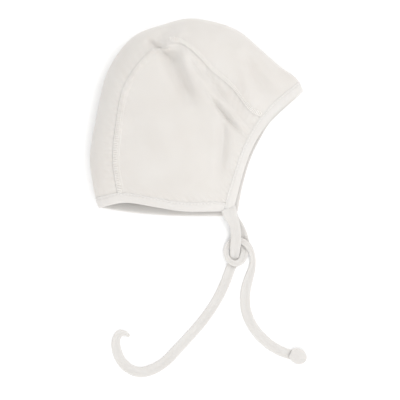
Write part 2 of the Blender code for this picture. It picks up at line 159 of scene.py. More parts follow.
# A soft unevenness between -1 and 1 that never repeats on the piece.
def wander(x, y, seed, size):
    draw = np.random.default_rng(seed)
    total = np.zeros(np.shape(x))
    for _ in range(waves["count"]):
        angle, phase = draw.uniform(0, math.tau, 2)
        pace = draw.uniform(waves["slowest"], waves["fastest"]) * math.tau / size
        total = total + np.cos(pace * (x * math.cos(angle) + y * math.sin(angle)) + phase)
    return total / waves["count"]


# The height that all the folds give the upper layer at a place seen from above.
def foldsAt(x, y):
    height = np.zeros(np.shape(x))
    size = np.array([bonnet["length"], bonnet["height"]])
    s = np.linspace(0, 1, foldForm["steps"])[:, None]
    for _, x0, y0, xm, ym, x1, y1, reach, peak, swell in folds:
        start, middle, end = np.array([x0, y0]) * size, np.array([xm, ym]) * size, np.array([x1, y1]) * size
        pull = 2 * middle - (start + end) / 2
        line = (1 - s) ** 2 * start + 2 * s * (1 - s) * pull + s * s * end
        nearest = np.full(np.shape(x), np.inf)
        offset = np.zeros(np.shape(x))  # from the fold's line, above zero on its left
        part = np.zeros(np.shape(x))  # how far along the fold the nearest place is
        for i, (a, way) in enumerate(zip(line[:-1], np.diff(line, axis=0))):
            ahead = np.clip(((x - a[0]) * way[0] + (y - a[1]) * way[1]) / (way @ way), 0, 1)
            dx, dy = x - a[0] - ahead * way[0], y - a[1] - ahead * way[1]
            away = np.hypot(dx, dy)
            closer = away < nearest
            nearest = np.where(closer, away, nearest)
            offset = np.where(closer, np.sign(way[0] * dy - way[1] * dx) * away, offset)
            part = np.where(closer, (i + ahead) / (len(line) - 1), part)
        ends = smoothStep(part / foldForm["fadeIn"]) * smoothStep((1 - part) / foldForm["fadeOut"])
        beside = (offset - foldForm["swellAt"] * reach) / (foldForm["swellReach"] * reach)
        shape = np.exp(-((offset / reach) ** 2)) - foldForm["swell"] * swell * np.exp(-(beside ** 2))
        height = height + peak * ends * shape
    return height


# The height of the fold line, the rise of the upper layer, and the share of the way in on which it rolls.
def rollShare(along, layer):
    fold = bonnet["foldHeight"] * column(sections, 1, along)
    rise = bonnet["rollRise"] * column(sections, 2, along)
    atFold, atCorner = plan(along, 0.0, layer), plan(along, 1.0, layer)
    reach = np.hypot(atFold[0] - atCorner[0], atFold[1] - atCorner[1])
    depth = 2 * rise if layer == "near" else fold - bonnet["bandWall"] / 2
    return fold, rise, depth / reach


# A point on one layer: t is 0 on the fold line and 1 at the tie corner.
def layerPoint(along, t, layer):
    fold, rise, roll = rollShare(along, layer)
    angle = np.minimum(t / bonnet["rollPart"], 1) * math.pi / 2
    flat = np.maximum(t - bonnet["rollPart"], 0) / (1 - bonnet["rollPart"])
    inward = roll * (1 - np.cos(angle)) + (1 - roll) * flat
    x, y = plan(along, inward, layer)
    if layer == "near":
        z = fold + rise * np.sin(angle) - (fold + rise - bonnet["cornerHeight"]) * inward ** 2
        puff = 16 * along * (1 - along) * inward * (1 - inward)  # 1 at the middle of the panel
        z = z + bonnet["puffRise"] * puff
        uneven = bonnet["uneven"] * wander(x, y, bonnet["unevenSeed"], bonnet["unevenSize"])
        z = z + np.sin(angle) ** 2 * (foldsAt(x, y) + uneven)
    else:
        face, neck = faceEdges[layer](inward), neckEdges[layer](inward)
        wide = np.hypot(face[0] - neck[0], face[1] - neck[1])
        bandWidth = max(bonnet["faceBandWidth"], bonnet["neckBandWidth"])
        fromBand = np.minimum(along, 1 - along) * wide - bandWidth
        settle = smoothStep(fromBand / bonnet["settleWidth"])
        settled = bonnet["bandWall"] / 2 - (bonnet["bandWall"] - bonnet["panelWall"]) / 2 * settle
        z = fold - (fold - settled - bonnet["floorLift"]) * np.sin(angle)
    return np.stack(np.broadcast_arrays(x, y, z), axis=-1)


# A point on the middle of the cloth: t runs from -1 at the near tie corner, over the fold line, to 1 at the
# far one.
def clothPoint(along, t):
    along, t = np.broadcast_arrays(np.asarray(along, float), np.asarray(t, float))
    near = layerPoint(along, np.maximum(-t, 0), "near")
    far = layerPoint(along, np.maximum(t, 0), "far")
    return np.where((t < 0)[..., None], near, far)


# How the cloth runs on from a place, over twice a small step.
def slopeOf(along, t, dAlong, dT):
    high = clothPoint(np.clip(along + dAlong, 0, 1), np.clip(t + dT, -1, 1))
    return high - clothPoint(np.clip(along - dAlong, 0, 1), np.clip(t - dT, -1, 1))


normalStep = 0.002


# The way out of the bonnet, square to the cloth.
def clothNormal(along, t):
    cross = np.cross(slopeOf(along, t, 0, normalStep), slopeOf(along, t, normalStep, 0))
    return cross / np.linalg.norm(cross, axis=-1, keepdims=True)


# How far each grid point is from the first row and from the first column, in metres.
def runsDown(points):
    steps = np.linalg.norm(np.diff(points, axis=0), axis=2)
    return np.concatenate([np.zeros((1, points.shape[1])), np.cumsum(steps, axis=0)])


def runsAcross(points):
    steps = np.linalg.norm(np.diff(points, axis=1), axis=2)
    return np.concatenate([np.zeros((len(points), 1)), np.cumsum(steps, axis=1)], axis=1)


# how far it is along the cloth from the face edge, for rows of the cloth from the near corner to the far one
measured = {"samples": 161, "rows": 401, "panelRows": 241}
rowSamples = np.linspace(0, 1, measured["samples"])
rowPlaces = np.linspace(-1, 1, measured["rows"])
rowRuns = runsAcross(clothPoint(rowSamples[None, :], rowPlaces[:, None]))


# How far each sample of one row is from the face edge.
def rowRun(t):
    place = (min(max(float(t), -1), 1) + 1) / 2 * (len(rowPlaces) - 1)
    low = min(int(place), len(rowPlaces) - 2)
    return rowRuns[low] * (1 - place + low) + rowRuns[low + 1] * (place - low)


# The place along a row at a distance from the face edge, or from the neck edge.
def alongAt(t, distances, fromNeck=False):
    run = rowRun(t)
    return np.interp(run[-1] - np.asarray(distances) if fromNeck else distances, run, rowSamples)


# The neck band narrows where it runs out at the tie corners.
def neckWidth(t):
    room = rowRun(t)[-1] - bonnet["faceBandWidth"] + bonnet["bandOverlap"]
    return min(bonnet["neckBandWidth"], max(room, bonnet["leastBand"]))


# The panels run from band to band and reach a little way under both. The grids are rows from the seam to the
# tie corner, or over the centre panel, and columns from the face to the neck.
panels = {
    "nearGrid": (150, 170), "farGrid": (70, 90), "centreGrid": (70, 260), "rowsCloser": 1.15,
    "underBand": 0.0012, "endFrom": 0.7, "endSteps": 151, "endRoom": 0.001,
    "farDeepest": -0.0002, "farRelief": 0.3, "undersideBelow": 0.004, "undersideRelief": 0.2,
    "innerRelief": 0.5,
}
tRows = np.linspace(-1, 1, measured["panelRows"])
faceSide = np.array([alongAt(t, bonnet["faceBandWidth"] - panels["underBand"]) for t in tRows])
neckSide = np.array([alongAt(t, neckWidth(t) - panels["underBand"], True) for t in tRows])


# A place on the panels, whose across runs from 0 at the face band to 1 at the neck band.
def panelPlace(across, t):
    face = np.interp(t, tRows, faceSide)
    neck = np.interp(t, tRows, neckSide)
    return face + across * (neck - face), t


# Where the seam lies, as t on its layer.
def seamAt(across, layer):
    roll = rollShare(across, layer)[2]
    inward = column(seamLine, 1, across)
    part = bonnet["rollPart"]
    rolled = part * 2 / math.pi * np.arccos(1 - np.minimum(inward / roll, 1))
    return np.where(inward < roll, rolled, part + (1 - part) * (inward - roll) / (1 - roll))


# Where the side panel ends at the tie corner, because the two bands meet there.
def panelEnd(layer):
    sign = -1 if layer == "near" else 1
    shares = np.linspace(panels["endFrom"], 1, panels["endSteps"])
    runs = np.array([rowRun(sign * share)[-1] for share in shares])
    room = runs - bonnet["faceBandWidth"] - bonnet["neckBandWidth"]
    return shares[np.argmax(room < panels["endRoom"])]


def toFrame(points):
    return np.asarray(points) - (originX, originY, 0)


pieceSlots = {}


# A smooth mesh object at the origin, turned to face outwards.
def meshPiece(name, points, faces, slot, uv, cad=(), rim=None):
    points = toFrame(points)
    quads = points[np.array([face for face in faces if len(face) == 4])]
    volume = np.sum(quads[:, 0] * (np.cross(quads[:, 1], quads[:, 2]) + np.cross(quads[:, 2], quads[:, 3])))
    if volume < 0:
        faces = [face[::-1] for face in faces]
    mesh = bpy.data.meshes.new(name)
    mesh.from_pydata(points.tolist(), [], faces)
    layer = mesh.uv_layers.new(name="knit")
    corners = np.empty(len(mesh.loops), np.int32)
    mesh.loops.foreach_get("vertex_index", corners)
    layer.data.foreach_set("uv", np.asarray(uv, np.float32)[corners].ravel())
    mesh.shade_smooth()
    if rim is not None:
        # the cut edges of a wall stay crisp, so that the cloth isn't shaded round where two panels meet
        ends = np.empty(len(mesh.edges) * 2, np.int32)
        mesh.edges.foreach_get("vertices", ends)
        crisp = rim[ends].reshape(-1, 2).all(axis=1)
        mesh.attributes.new("sharp_edge", "BOOLEAN", "EDGE").data.foreach_set("value", crisp)
    piece = bpy.data.objects.new(name, mesh)
    bpy.context.scene.collection.objects.link(piece)
    pieceSlots[name] = (piece, slot, cad)
    return piece


# The faces of a wall between two grids of points, with its rim.
def wallFaces(rows, columns):
    inner = rows * columns
    faces = []
    for i in range(rows - 1):
        for j in range(columns - 1):
            a = i * columns + j
            quad = (a, a + 1, a + columns + 1, a + columns)
            faces.append(quad)
            faces.append(tuple(inner + k for k in reversed(quad)))
    rim = list(range(columns))
    rim += [i * columns + columns - 1 for i in range(1, rows)]
    rim += [(rows - 1) * columns + j for j in range(columns - 2, -1, -1)]
    rim += [i * columns for i in range(rows - 2, 0, -1)]
    for a, b in zip(rim, rim[1:] + rim[:1]):
        faces.append((b, a, inner + a, inner + b))
    return faces


# A panel of knit: the wall on both sides of the cloth's middle, lifted outside by its relief.
def panelPiece(name, along, t, lift):
    middle = clothPoint(along, t)
    normal = clothNormal(along, t)
    half = bonnet["panelWall"] / 2
    outside = middle + normal * (half + lift)[..., None]
    inside = middle - normal * (half - panels["innerRelief"] * lift)[..., None]
    points = np.concatenate([outside.reshape(-1, 3), inside.reshape(-1, 3)])
    across, down = runsAcross(middle), runsDown(middle)
    uv = np.stack([(across - across[:, -1:] / 2).ravel(), down.ravel()], axis=1)
    rim = np.ones(along.shape, bool)
    rim[1:-1, 1:-1] = False
    rim = np.tile(rim.ravel(), 2)
    faces = wallFaces(*along.shape)
    return meshPiece(name, points, faces, "panel_knit", np.concatenate([uv, uv]), (name,), rim)


# crossesAt is where the allowance changes sides, as a share of the way from the face to the neck
seam = {
    "groove": 0.00022, "grooveReach": 0.0009,
    "allowance": 0.00035, "allowanceWidth": 0.0052, "allowanceStart": 0.001, "allowanceEnd": 0.0012,
    "pucker": 0.00022, "puckerPace": 0.0058, "puckerReach": 0.0075, "waver": 1.7, "waverPace": 61,
    "crossesAt": 0.40, "crossesOver": 0.06,
}


# The groove of a seam, the allowance pressed to one side of it, and the puckers that it draws.
def seamRelief(away, along, side):
    lift = -seam["groove"] * np.exp(-((away / seam["grooveReach"]) ** 2))
    flat = smoothStep(away / seam["allowanceStart"])
    flat = flat * (1 - smoothStep((away - seam["allowanceWidth"]) / seam["allowanceEnd"]))
    lift = lift + side * seam["allowance"] * flat
    wave = np.cos(along * math.tau / seam["puckerPace"] + seam["waver"] * np.sin(along * seam["waverPace"]))
    return lift + seam["pucker"] * wave * np.exp(-((away / seam["puckerReach"]) ** 2))


# How far along the seam each of its places is.
def seamRun(across, layer):
    sign = -1 if layer == "near" else 1
    return runOf(clothPoint(*panelPlace(across, sign * seamAt(across, layer))))


# At the front the allowance is pressed onto the centre panel, and at the back onto the side panel.
def allowanceSide(across):
    return smoothStep((across - seam["crossesAt"]) / seam["crossesOver"])


bands = {
    "faceStations": 300, "faceEnds": (-1, 1), "neckStations": 240, "neckEnds": (-0.992, 0.985),
    "pucker": 0.07, "puckerPace": 0.0052, "puckerWaver": 2.1, "puckerWaverPace": 47,
    "soft": 0.05, "softPace": 0.021, "softWaver": 1.3, "softWaverPace": 33,
    "besidePucker": 0.00016, "besideReach": 0.006,
    "noseAngles": (50, 25, 0, -25, -50),
}
# a band's section over its top and back under it: in from the folded edge as a share of its width, in metres
# and as a share of half its wall, then height as a share of half its wall; the low row is for the stitches
bandOver = (
    (1.00, 0.0000, 0.0, 0.45), (1.00, -0.0004, 0.0, 0.95), (1.00, -0.0012, 0.0, 0.90),
    (1.00, -0.0017, 0.0, 0.60), (1.00, -0.0023, 0.0, 0.96), (0.55, 0.0000, 0.0, 1.05),
    (0.30, 0.0000, 0.0, 1.12), (0.00, 0.0000, 1.6, 1.10),
)
bandUnder = (
    (0.00, 0.0000, 1.6, -1.0), (0.50, 0.0000, 0.0, -1.0), (1.00, -0.0017, 0.0, -1.0),
    (1.00, 0.0000, 0.0, -0.5),
)


# Puckers where a band's stitches draw the cloth.
def bandPuckers(run):
    return np.cos(run * math.tau / bands["puckerPace"]
                  + bands["puckerWaver"] * np.sin(run * bands["puckerWaverPace"]))


def sidePanel(name, layer, rows, columns):
    sign = -1 if layer == "near" else 1
    across, part = np.meshgrid(np.linspace(0, 1, columns), np.linspace(0, 1, rows) ** panels["rowsCloser"])
    start = seamAt(across, layer)
    along, t = panelPlace(across, sign * (start + part * (panelEnd(layer) - start)))
    middle = clothPoint(along, t)
    lift = seamRelief(runsDown(middle), seamRun(across[0], layer)[None, :], allowanceSide(across))
    puckers = bands["besidePucker"] * bandPuckers(middle[..., 0] + middle[..., 1])
    fromFace = runsAcross(middle)
    for fromBand in (fromFace, fromFace[:, -1:] - fromFace):
        lift = lift + puckers * np.exp(-((fromBand / bands["besideReach"]) ** 2))
    if layer == "far":
        lift = np.maximum(lift, panels["farDeepest"]) * panels["farRelief"]
    return panelPiece(name, along, t, lift)


def centrePanel(rows, columns):
    across, part = np.meshgrid(np.linspace(0, 1, columns), np.linspace(0, 1, rows))
    near, far = -seamAt(across, "near"), seamAt(across, "far")
    along, t = panelPlace(across, near + part * (far - near))
    middle = clothPoint(along, t)
    fromNear = runsDown(middle)
    fromFar = fromNear[-1:] - fromNear
    side = 1 - allowanceSide(across)
    lift = seamRelief(fromNear, seamRun(across[0], "near")[None, :], side)
    lift = lift + seamRelief(fromFar, seamRun(across[0], "far")[None, :], side)
    underside = middle[..., 2] < panels["undersideBelow"]
    lift = np.where(underside, np.maximum(lift, 0) * panels["undersideRelief"], lift)
    return panelPiece("centre_panel", along, t, lift)


# A folded edge with a round nose, a pressed line of stitches and soft puckers.
def bandPiece(name, stations, width, ends, fromNeck):
    half = bonnet["bandWall"] / 2
    tRow = np.linspace(ends[0], ends[1], stations)
    edge = np.array([alongAt(t, [0], fromNeck)[0] for t in tRow])
    run = runOf(clothPoint(edge, tRow))
    nose = tuple((0, 0, 1 - math.cos(a), math.sin(a)) for a in np.radians(bands["noseAngles"]))
    section = np.array(bandOver + nose + bandUnder)
    wide = np.array([width(t) for t in tRow])
    depth = wide[:, None] * section[:, 0] + section[:, 1] + half * section[:, 2]
    height = half * np.tile(section[:, 3], (stations, 1))
    pucker = 1 + bands["pucker"] * bandPuckers(run)
    soft = 1 + bands["soft"] * np.sin(run * math.tau / bands["softPace"]
                                      + bands["softWaver"] * np.sin(run * bands["softWaverPace"]))
    height[:, 1:len(bandOver)] *= (pucker * soft)[:, None]
    along = np.stack([alongAt(t, inset, fromNeck) for t, inset in zip(tRow, depth)])
    rows = np.repeat(tRow[:, None], depth.shape[1], axis=1)
    rings = clothPoint(along, rows) + clothNormal(along, rows) * height[..., None]
    uv = np.stack([np.repeat(run[:, None], depth.shape[1], axis=1), runsAcross(rings)], axis=-1)
    return sweptPiece(name, rings, uv, "band_knit", (name,))


# A closed piece from rings of points along its way.
def sweptPiece(name, rings, uv, slot, cad=()):
    stations, sides = rings.shape[:2]
    faces = [tuple(range(sides))[::-1]]
    for i in range(stations - 1):
        for j in range(sides):
            a = i * sides + j
            b = i * sides + (j + 1) % sides
            faces.append((a, b, b + sides, a + sides))
    faces.append(tuple((stations - 1) * sides + j for j in range(sides)))
    return meshPiece(name, rings.reshape(-1, 3), faces, slot, uv.reshape(-1, 2), cad)


# The ties, from the bonnet's corners through the loose half knot to their tips: x, y and z in metres before
# the frame's origin is taken off, and the width as a share of the tape's.
tieNearRoute = (
    (0.1112, 0.0080, 0.0054, 0.95), (0.1110, 0.0042, 0.0069, 1.32), (0.1110, 0.0008, 0.0074, 1.52),
    (0.1119, -0.0024, 0.0071, 1.40), (0.1134, -0.0058, 0.0065, 1.22), (0.1156, -0.0115, 0.0060, 1.06),
    (0.1164, -0.0190, 0.0055, 1.06), (0.1162, -0.0250, 0.0051, 1.08), (0.1156, -0.0320, 0.0034, 1.04),
    (0.1152, -0.0375, 0.0014, 0.90), (0.1140, -0.0420, 0.0009, 0.90), (0.1120, -0.0465, 0.0009, 0.98),
    (0.1095, -0.0535, 0.0009, 1.00), (0.1055, -0.0630, 0.0009, 1.00), (0.1000, -0.0735, 0.0009, 1.00),
    (0.0915, -0.0860, 0.0009, 1.02), (0.0815, -0.0980, 0.0009, 1.02), (0.0700, -0.1105, 0.0009, 1.04),
    (0.0585, -0.1220, 0.0009, 1.06), (0.0475, -0.1282, 0.0009, 1.06), (0.0385, -0.1300, 0.0009, 1.02),
    (0.0300, -0.1270, 0.0009, 1.00), (0.0235, -0.1205, 0.0009, 1.00), (0.0200, -0.1120, 0.0010, 0.95),
    (0.0195, -0.1040, 0.0012, 0.85), (0.0225, -0.0985, 0.0013, 0.70), (0.0272, -0.0988, 0.0012, 0.50),
    (0.0305, -0.1010, 0.0010, 0.22),
)
tieFarRoute = (
    (0.1134, -0.0018, 0.0013, 1.00), (0.1152, -0.0062, 0.0011, 1.00), (0.1181, -0.0107, 0.0009, 1.00),
    (0.1208, -0.0158, 0.0009, 1.00), (0.1230, -0.0225, 0.0009, 0.95), (0.1237, -0.0290, 0.0012, 0.86),
    (0.1230, -0.0350, 0.0021, 0.78), (0.1205, -0.0398, 0.0030, 0.68), (0.1160, -0.0417, 0.0033, 0.62),
    (0.1112, -0.0395, 0.0033, 0.58), (0.1088, -0.0345, 0.0028, 0.55), (0.1090, -0.0290, 0.0026, 0.55),
    (0.1120, -0.0245, 0.0028, 0.55), (0.1165, -0.0228, 0.0030, 0.58), (0.1215, -0.0238, 0.0031, 0.64),
    (0.1262, -0.0275, 0.0031, 0.62), (0.1292, -0.0330, 0.0026, 0.58), (0.1304, -0.0395, 0.0016, 0.58),
    (0.1295, -0.0460, 0.0010, 0.74), (0.1270, -0.0540, 0.0009, 0.92), (0.1247, -0.0630, 0.0009, 1.00),
    (0.1240, -0.0730, 0.0009, 1.02), (0.1255, -0.0825, 0.0009, 1.02), (0.1300, -0.0925, 0.0009, 1.02),
    (0.1375, -0.1020, 0.0009, 1.02), (0.1475, -0.1100, 0.0009, 1.00), (0.1570, -0.1145, 0.0009, 0.98),
    (0.1650, -0.1165, 0.0009, 0.98), (0.1705, -0.1172, 0.0010, 0.90),
)
# the folded-back end of the far tie
tieFarEndRoute = (
    (0.1608, -0.1140, 0.0027, 0.90), (0.1630, -0.1150, 0.0029, 1.30), (0.1658, -0.1163, 0.0029, 1.50),
    (0.1688, -0.1178, 0.0028, 1.45), (0.1712, -0.1190, 0.0025, 1.15), (0.1726, -0.1197, 0.0022, 0.70),
    (0.1732, -0.1200, 0.0021, 0.35),
)
tape = {
    "width": 0.0080, "thickness": 0.0015, "stations": 260, "endStations": 40,
    "waver": 0.03, "waverSize": 0.03, "crease": 0.35, "creaseSize": 0.05, "creaseSpread": 0.8,
    "nearSeed": 21, "farSeed": 31, "endSeed": 41,
}
# the tape's section over its top and back under it, as shares of half its width and half its thickness
tapeSection = np.array((
    (1.00, 0.25), (0.97, 0.72), (0.88, 1.00), (0.70, 1.02), (0.45, 0.90), (0.20, 0.66), (0.00, 0.50),
    (-0.20, 0.66), (-0.45, 0.90), (-0.70, 1.02), (-0.88, 1.00), (-0.97, 0.72), (-1.00, 0.25),
    (-0.97, -0.70), (-0.88, -0.95), (-0.70, -1.00), (-0.45, -1.00), (-0.20, -1.00), (0.00, -1.00),
    (0.20, -1.00), (0.45, -1.00), (0.70, -1.00), (0.88, -0.95), (0.97, -0.70),
))


# A flat tape: round edges, a soft crease along its middle and a slight waver.
def tapePiece(name, route, seed, stations, cad):
    route = np.array(route)
    knots = runOf(route[:, :3])
    steps = np.linspace(0, knots[-1], stations)
    values = np.stack([curveThrough(knots, route[:, i], steps) for i in range(4)], axis=-1)
    centres = values[:, :3]
    ahead = np.gradient(centres, axis=0)
    ahead /= np.linalg.norm(ahead, axis=1, keepdims=True)
    side = np.cross(ahead, (0, 0, 1))
    side /= np.linalg.norm(side, axis=1, keepdims=True)
    up = np.cross(side, ahead)
    waver = 1 + tape["waver"] * wander(steps, 0 * steps, seed, tape["waverSize"])
    wide = tape["width"] / 2 * values[:, 3] * waver
    crease = tape["crease"] * wander(steps, 0 * steps, seed + 1, tape["creaseSize"])
    shares, heights = tapeSection[:, 0], tapeSection[:, 1] * tape["thickness"] / 2
    across = shares + crease[:, None] * (1 - np.abs(shares)) * tape["creaseSpread"]
    across = across * wide[:, None]
    rings = centres[:, None] + side[:, None] * across[..., None] + up[:, None] * heights[:, None]
    uv = np.stack([np.broadcast_to(steps[:, None], across.shape), across], axis=-1)
    return sweptPiece(name, rings, uv, "tie_knit", cad), toFrame(centres), knots[-1]


print("scene: cloth")
sidePanel("side_panel_near", "near", *panels["nearGrid"])
sidePanel("side_panel_far", "far", *panels["farGrid"])
centrePanel(*panels["centreGrid"])
bandPiece("face_band", bands["faceStations"], lambda t: bonnet["faceBandWidth"], bands["faceEnds"], False)
bandPiece("neck_band", bands["neckStations"], neckWidth, bands["neckEnds"], True)
print("scene: ties")
tieNear, nearPath, nearLength = tapePiece(
    "tie_near", tieNearRoute, tape["nearSeed"], tape["stations"], ("tie_near",))
tieFar, farPath, farLength = tapePiece(
    "tie_far", tieFarRoute, tape["farSeed"], tape["stations"], ("tie_far",))
tieFarEnd = tapePiece("tie_far_end", tieFarEndRoute, tape["endSeed"], tape["endStations"], ())[0]


knitForm = {
    "slant": 1.1, "ribAt": 0.25, "ribSteep": 3.2, "ribRound": 1.4, "ribShare": 0.7, "loopShare": 0.3,
    "blotchScale": 38, "blotchDetail": 4,
}


# The knit, as a group that each cloth material places with its own values.
def knitGroup():
    tree = bpy.data.node_groups.new("knit", "ShaderNodeTree")
    for name, value in (("Wale Width", 0.0012), ("Course Height", 0.0009), ("Depth", 1.0)):
        socket = tree.interface.new_socket(name, in_out="INPUT", socket_type="NodeSocketFloat")
        socket.default_value = value
    for name in ("Height", "Shade"):
        tree.interface.new_socket(name, in_out="OUTPUT", socket_type="NodeSocketFloat")
    nodes, links = tree.nodes, tree.links
    given, out = nodes.new("NodeGroupInput"), nodes.new("NodeGroupOutput")

    def combine(operation, a, b=None):
        node = nodes.new("ShaderNodeMath")
        node.operation = operation
        for socket, value in zip(node.inputs, (a, b)):
            if value is None:
                continue
            if isinstance(value, (int, float)):
                socket.default_value = value
            else:
                links.new(value, socket)
        return node.outputs[0]

    place = nodes.new("ShaderNodeUVMap")
    place.uv_map = "knit"
    split = nodes.new("ShaderNodeSeparateXYZ")
    links.new(place.outputs[0], split.inputs[0])
    wale = combine("DIVIDE", split.outputs[0], given.outputs["Wale Width"])
    course = combine("DIVIDE", split.outputs[1], given.outputs["Course Height"])
    # each wale is a column of V-shaped loops: the courses are bent down at the wale's middle
    across = combine("ABSOLUTE", combine("SUBTRACT", combine("FRACT", wale), 0.5))
    bent = combine("ADD", course, combine("MULTIPLY", across, knitForm["slant"]))
    # the legs of the loops stand up as two ribs to a wale
    offRib = combine("ABSOLUTE", combine("SUBTRACT", across, knitForm["ribAt"]))
    rib = combine("SUBTRACT", 1.0, combine("MULTIPLY", offRib, knitForm["ribSteep"]))
    rib = combine("POWER", rib, knitForm["ribRound"])
    loop = combine("ABSOLUTE", combine("SINE", combine("MULTIPLY", bent, math.pi)))
    height = combine("ADD", combine("MULTIPLY", rib, knitForm["ribShare"]),
                     combine("MULTIPLY", loop, knitForm["loopShare"]))
    links.new(combine("MULTIPLY", height, given.outputs["Depth"]), out.inputs["Height"])
    where = nodes.new("ShaderNodeTexCoord")
    blotch = nodes.new("ShaderNodeTexNoise")
    blotch.inputs["Scale"].default_value = knitForm["blotchScale"]
    blotch.inputs["Detail"].default_value = knitForm["blotchDetail"]
    links.new(where.outputs["Object"], blotch.inputs["Vector"])
    links.new(blotch.outputs["Fac"], out.inputs["Shade"])
    return tree


knit = knitGroup()
clothShader = {
    "Roughness": 0.92, "Sheen Weight": 0.35, "Sheen Roughness": 0.5, "Specular IOR Level": 0.2,
    "Subsurface Weight": 0.35, "Subsurface Radius": (1, 0.94, 0.88), "Subsurface Scale": 0.002,
}
clothShade = {"darkAt": 0.25, "lightAt": 0.75, "courseShare": 0.8, "depth": 1.0, "bumpDistance": 0.0004}


# A matt knit: uneven ivory from light to dark, and the bump of its loops.
def clothMaterial(finish):
    material = bpy.data.materials.new(finish["name"])
    material.use_nodes = True
    nodes, links = material.node_tree.nodes, material.node_tree.links
    shader = nodes["Principled BSDF"]
    for name, value in clothShader.items():
        shader.inputs[name].default_value = value
    pattern = nodes.new("ShaderNodeGroup")
    pattern.node_tree = knit
    pattern.inputs["Wale Width"].default_value = finish["waleWidth"]
    pattern.inputs["Course Height"].default_value = finish["waleWidth"] * clothShade["courseShare"]
    pattern.inputs["Depth"].default_value = clothShade["depth"]
    ramp = nodes.new("ShaderNodeValToRGB")
    for stop, place, colour in zip(ramp.color_ramp.elements, ("darkAt", "lightAt"), ("dark", "light")):
        stop.position = clothShade[place]
        stop.color = (*finish[colour], 1)
    links.new(pattern.outputs["Shade"], ramp.inputs[0])
    links.new(ramp.outputs[0], shader.inputs["Base Color"])
    relief = nodes.new("ShaderNodeBump")
    relief.inputs["Strength"].default_value = finish["bump"]
    relief.inputs["Distance"].default_value = clothShade["bumpDistance"]
    links.new(pattern.outputs["Height"], relief.inputs["Height"])
    links.new(relief.outputs[0], shader.inputs["Normal"])
    return material


print("scene: materials")
finishes = {
    "panel_knit": {"name": "ivory_jersey", "waleWidth": 0.0010, "bump": 0.35,
                   "light": (0.668, 0.645, 0.616), "dark": (0.640, 0.611, 0.578)},
    "band_knit": {"name": "ivory_jersey_folded", "waleWidth": 0.0010, "bump": 0.3,
                  "light": (0.668, 0.649, 0.626), "dark": (0.640, 0.616, 0.592)},
    "tie_knit": {"name": "ivory_jersey_tape", "waleWidth": 0.0009, "bump": 0.3,
                 "light": (0.654, 0.638, 0.616), "dark": (0.626, 0.606, 0.584)},
    # the thread is lighter than the cloth: partly its own colour, partly a painted highlight for the light
    # that the raised stitches catch
    "seam_thread": {"name": "ivory_thread_and_painted_highlight", "waleWidth": 0.0004, "bump": 0.2,
                    "light": (0.90, 0.87, 0.83), "dark": (0.86, 0.83, 0.79)},
}
materials = {slot: clothMaterial(finish) for slot, finish in finishes.items()}


stitchBall = {"Segments": 8, "Rings": 6, "Radius": 0.5}


# Stitches: short threads set along a line on the cloth by Geometry Nodes.
def stitchGroup():
    tree = bpy.data.node_groups.new("stitches", "GeometryNodeTree")
    tree.interface.new_socket("Geometry", in_out="INPUT", socket_type="NodeSocketGeometry")
    for name, kind, value in (("Stitch Length", "Float", 0.0022), ("Thread Width", "Float", 0.0004),
                              ("Unevenness", "Float", 0.15), ("Seed", "Int", 3)):
        socket = tree.interface.new_socket(name, in_out="INPUT", socket_type="NodeSocket" + kind)
        socket.default_value = value
    tree.interface.new_socket("Material", in_out="INPUT", socket_type="NodeSocketMaterial")
    tree.interface.new_socket("Geometry", in_out="OUTPUT", socket_type="NodeSocketGeometry")
    nodes, links = tree.nodes, tree.links
    given, out = nodes.new("NodeGroupInput"), nodes.new("NodeGroupOutput")

    def attribute(name):
        node = nodes.new("GeometryNodeInputNamedAttribute")
        node.data_type = "FLOAT_VECTOR"
        node.inputs["Name"].default_value = name
        return node.outputs["Attribute"]

    # each stitch is a small ball drawn out along the line
    ball = nodes.new("GeometryNodeMeshUVSphere")
    for name, value in stitchBall.items():
        ball.inputs[name].default_value = value
    turnAlong = nodes.new("FunctionNodeAlignRotationToVector")
    turnAlong.axis = "X"
    links.new(attribute("ahead"), turnAlong.inputs["Vector"])
    turnUp = nodes.new("FunctionNodeAlignRotationToVector")
    turnUp.axis = "Z"
    turnUp.pivot_axis = "X"
    links.new(turnAlong.outputs[0], turnUp.inputs["Rotation"])
    links.new(attribute("outward"), turnUp.inputs["Vector"])
    # its length is a little uneven
    uneven = nodes.new("FunctionNodeRandomValue")
    uneven.data_type = "FLOAT"
    links.new(given.outputs["Seed"], uneven.inputs["Seed"])
    low = nodes.new("ShaderNodeMath")
    low.operation = "SUBTRACT"
    low.inputs[0].default_value = 1.0
    links.new(given.outputs["Unevenness"], low.inputs[1])
    high = nodes.new("ShaderNodeMath")
    high.inputs[0].default_value = 1.0
    links.new(given.outputs["Unevenness"], high.inputs[1])
    floats = [s for s in uneven.inputs if s.type == "VALUE"]
    links.new(low.outputs[0], floats[0])
    links.new(high.outputs[0], floats[1])
    longer = nodes.new("ShaderNodeMath")
    longer.operation = "MULTIPLY"
    links.new(given.outputs["Stitch Length"], longer.inputs[0])
    links.new([s for s in uneven.outputs if s.type == "VALUE"][0], longer.inputs[1])
    size = nodes.new("ShaderNodeCombineXYZ")
    links.new(longer.outputs[0], size.inputs[0])
    links.new(given.outputs["Thread Width"], size.inputs[1])
    links.new(given.outputs["Thread Width"], size.inputs[2])
    place = nodes.new("GeometryNodeInstanceOnPoints")
    links.new(given.outputs["Geometry"], place.inputs["Points"])
    links.new(ball.outputs["Mesh"], place.inputs["Instance"])
    links.new(turnUp.outputs[0], place.inputs["Rotation"])
    links.new(size.outputs[0], place.inputs["Scale"])
    real = nodes.new("GeometryNodeRealizeInstances")
    paint = nodes.new("GeometryNodeSetMaterial")
    links.new(place.outputs[0], real.inputs[0])
    links.new(real.outputs[0], paint.inputs["Geometry"])
    links.new(given.outputs["Material"], paint.inputs["Material"])
    links.new(paint.outputs[0], out.inputs[0])
    return tree


stitches = stitchGroup()


